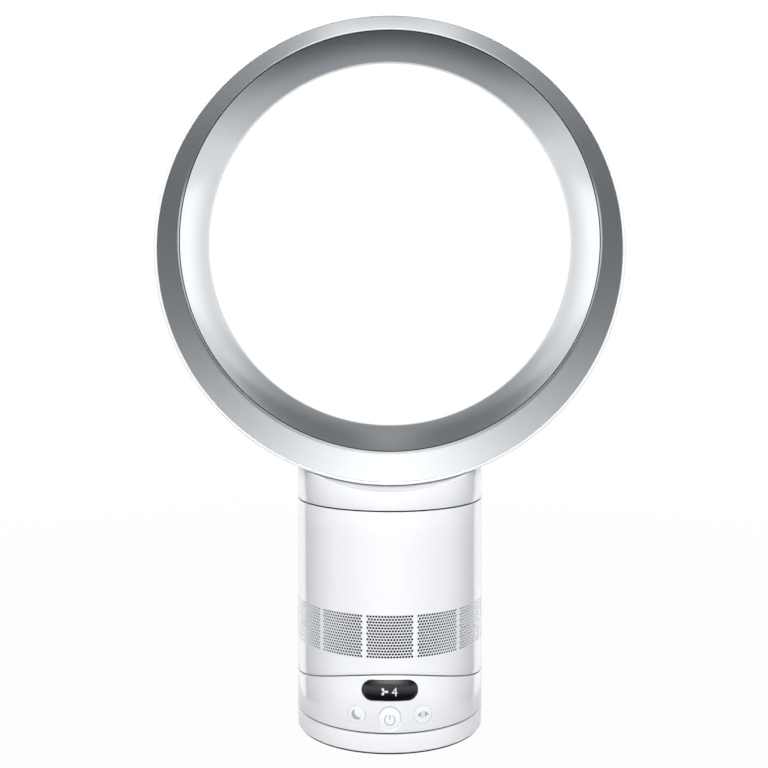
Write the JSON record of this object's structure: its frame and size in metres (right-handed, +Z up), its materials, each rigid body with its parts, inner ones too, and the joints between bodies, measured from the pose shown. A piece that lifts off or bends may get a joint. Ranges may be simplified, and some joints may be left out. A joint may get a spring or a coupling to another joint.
{
  "type": "bladeless fan",
  "caption": "Bladeless desk fan: a round air loop on a perforated column that tilts on an arc and swings on a low foot, with a small display and push buttons.",
  "frame": {"origin": "on the floor under the column's axis, at the centre of the foot", "axes": "+Z up, -Y towards the user and the display, +X to the user's right"},
  "size_m": [0.3566, 0.146, 0.552],
  "materials": {
    "white_abs": "injection moulded, glossy cool white",
    "silver_paint": "smooth metallic silver paint on moulded plastic",
    "black_window": "polished black smoked window",
    "button_abs": "satin white moulded cap",
    "inner_abs": "matt light grey moulding",
    "dark_abs": "matt dark grey moulding",
    "rubber": "matt moulded rubber",
    "foam": "open cell acoustic foam",
    "steel": "turned steel",
    "copper": "enamelled copper winding on a laminated core",
    "board": "green circuit board",
    "acetal": "natural acetal, low friction"
  },
  "bodies": {
    "foot": {"foot_shell": "white_abs", "foot_plate": "dark_abs", "foot_ring": "rubber", "foot_screw_1": "steel", "foot_screw_2": "steel", "foot_screw_3": "steel", "pivot_post": "dark_abs", "pivot_retainer": "steel", "thrust_washer": "acetal", "swing_gear": "acetal", "power_inlet": "dark_abs"},
    "base": {"base_shell": "white_abs", "tilt_cradle": "white_abs", "turntable": "inner_abs", "display_window": "black_window", "display_module": "dark_abs", "display_board": "board", "control_board": "board", "switch_timer": "dark_abs", "switch_power": "dark_abs", "switch_swing": "dark_abs", "swing_motor": "steel"},
    "timer_cap": {"timer_button": "button_abs"},
    "power_cap": {"power_button": "button_abs"},
    "swing_cap": {"swing_button": "button_abs"},
    "pinion": {"swing_pinion": "acetal"},
    "fan_body": {"body_casing": "white_abs", "body_floor": "white_abs", "floor_foam": "foam", "tilt_rail_left": "acetal", "tilt_rail_right": "acetal", "housing_seal": "rubber", "housing_mount_1": "rubber", "housing_mount_2": "rubber", "housing_mount_3": "rubber", "impeller_housing": "inner_abs", "inlet_bellmouth": "inner_abs", "motor_bucket": "inner_abs", "motor_stator": "copper", "driver_board": "board", "motor_cover": "inner_abs", "bearing_lower": "steel", "bearing_upper": "steel", "bayonet_ring": "inner_abs", "neck_gasket": "rubber"},
    "rotor": {"impeller": "dark_abs", "motor_shaft": "steel"},
    "loop": {"loop_outer_shell": "white_abs", "loop_inner_shell": "silver_paint", "loop_front_bezel": "silver_paint", "loop_neck": "white_abs", "loop_screw_left": "steel", "loop_screw_right": "steel"}
  },
  "joints": [
    {"name": "base_swing", "type": "hinge", "parent": "foot", "child": "base", "pos_m": [0, 0, 0.016], "axis": [0, 0, 1], "range_deg": [-45, 45]},
    {"name": "pinion_turn", "type": "hinge", "parent": "base", "child": "pinion", "pos_m": [0, 0.0392, 0.01], "axis": [0, 0, 1], "range_deg": [-155, 155]},
    {"name": "head_tilt", "type": "hinge", "parent": "base", "child": "fan_body", "pos_m": [0, 0, 0.2243], "axis": [1, 0, 0], "range_deg": [-10, 10]},
    {"name": "impeller_spin", "type": "hinge", "parent": "fan_body", "child": "rotor", "pos_m": [0, 0, 0.125], "axis": [0, 0, 1], "continuous": true},
    {"name": "loop_twist", "type": "hinge", "parent": "fan_body", "child": "loop", "pos_m": [0, 0, 0.176], "axis": [0, 0, 1], "range_deg": [0, 15]},
    {"name": "timer_press", "type": "slide", "parent": "base", "child": "timer_cap", "axis": [0, 1, 0], "range_m": [0, 0.0005], "stiffness_N_per_m": 2000, "springref_m": -0.0003},
    {"name": "power_press", "type": "slide", "parent": "base", "child": "power_cap", "axis": [0, 1, 0], "range_m": [0, 0.0005], "stiffness_N_per_m": 2000, "springref_m": -0.0003},
    {"name": "swing_press", "type": "slide", "parent": "base", "child": "swing_cap", "axis": [0, 1, 0], "range_m": [0, 0.0005], "stiffness_N_per_m": 2000, "springref_m": -0.0003}
  ],
  "couplings": [
    {"joint": "pinion_turn", "follows": "base_swing", "ratio": 3.3333}
  ]
}
